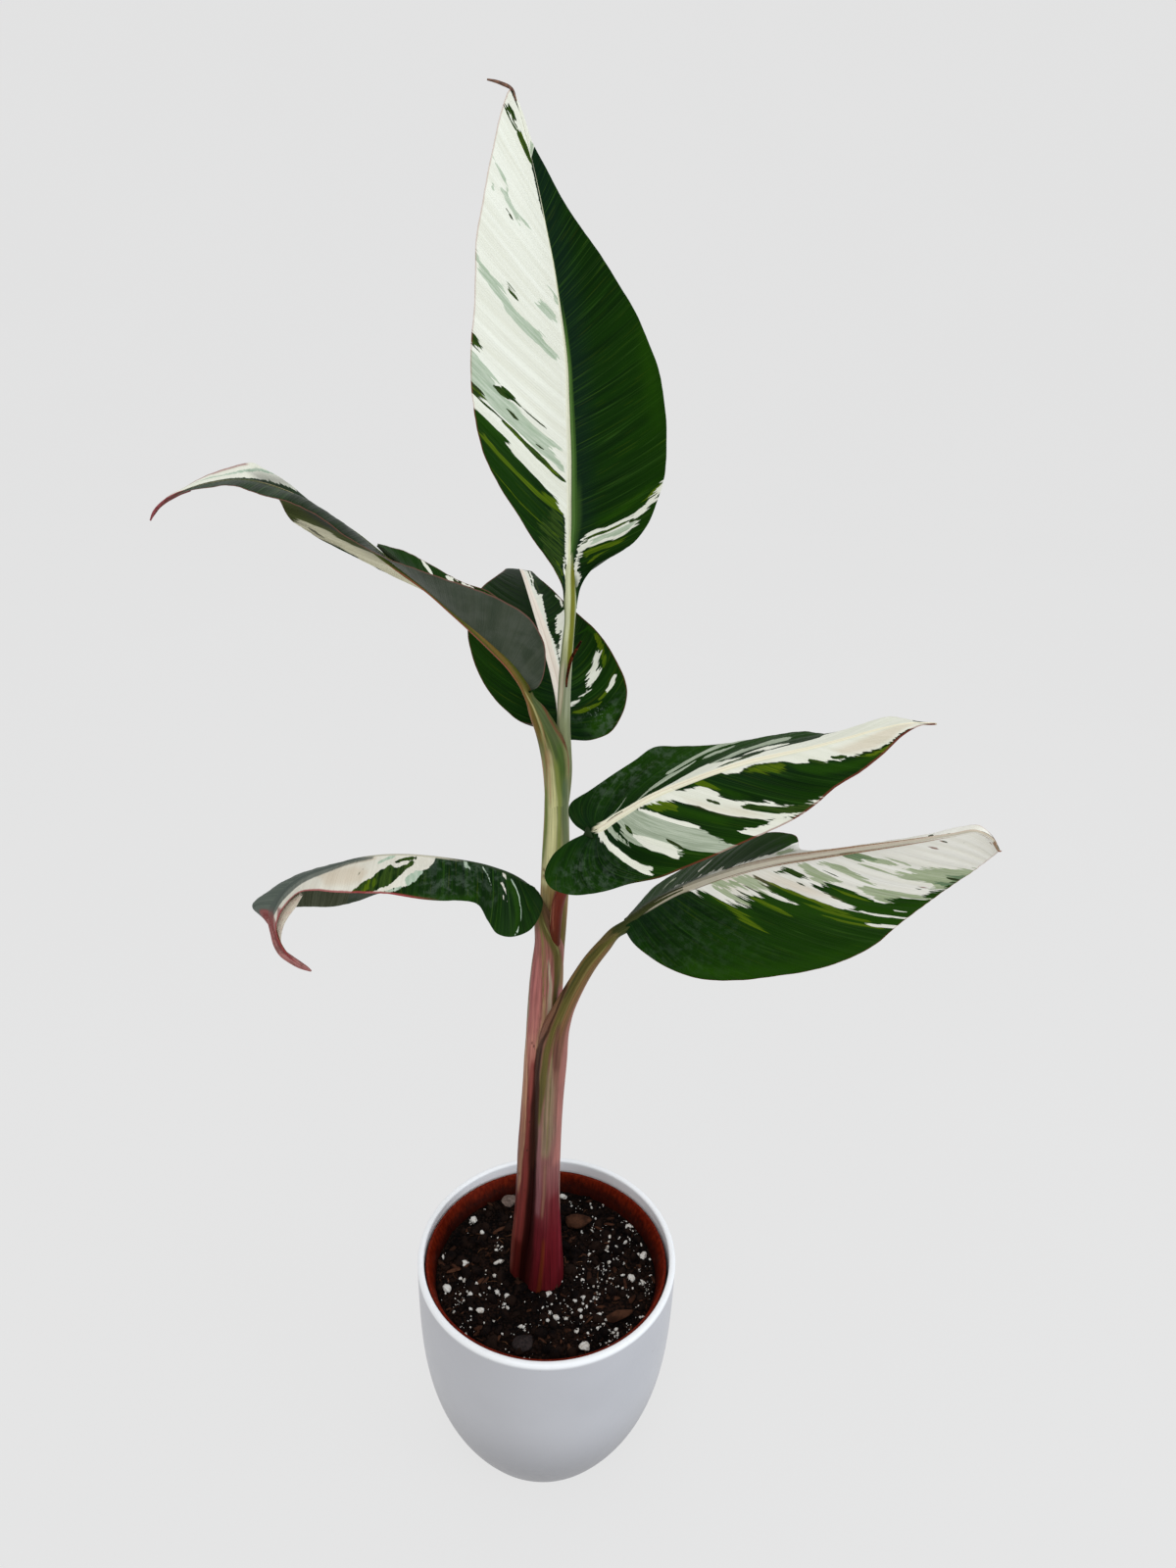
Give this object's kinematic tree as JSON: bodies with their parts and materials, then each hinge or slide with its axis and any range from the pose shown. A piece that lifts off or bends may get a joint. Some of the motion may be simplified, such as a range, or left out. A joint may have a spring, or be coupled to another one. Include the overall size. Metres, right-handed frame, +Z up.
{
  "type": "potted variegated banana plant",
  "caption": "Young variegated banana plant with upright and arching leaves on a slender stem, growing in a plain nursery pot that stands inside a rounded white cover pot.",
  "frame": {"origin": "centre of the cover pot's flat underside", "axes": "+Z up along the pot's axis, towards the top leaf; +X to the right and +Y away as seen from the front"},
  "size_m": [0.3043, 0.2368, 0.6562],
  "materials": {
    "cover_pot": "satin",
    "nursery_pot": "matte",
    "potting_mix": "matte",
    "stem": "satin",
    "leaf": "satin",
    "dried_leaf": "matte",
    "perlite": "matte",
    "pebble": "matte",
    "bark": "matte"
  },
  "bodies": {
    "root": {"cover_pot": "cover_pot", "nursery_pot": "nursery_pot", "potting_mix": "potting_mix", "pseudostem": "stem", "leaf_top": "leaf", "leaf_rear": "leaf", "leaf_upper_left": "leaf", "leaf_mid_right": "leaf", "leaf_lower_left": "leaf", "leaf_lower_right": "leaf", "dried_filament": "dried_leaf", "tan_pebble": "pebble", "dark_stone": "pebble", "bark_chip_right": "bark", "bark_stick": "bark", "bark_lump": "bark", "perlite_01": "perlite", "perlite_02": "perlite", "perlite_03": "perlite", "perlite_04": "perlite", "perlite_05": "perlite", "perlite_06": "perlite", "perlite_07": "perlite", "perlite_08": "perlite", "perlite_09": "perlite", "perlite_10": "perlite", "perlite_11": "perlite"}
  },
  "joints": []
}
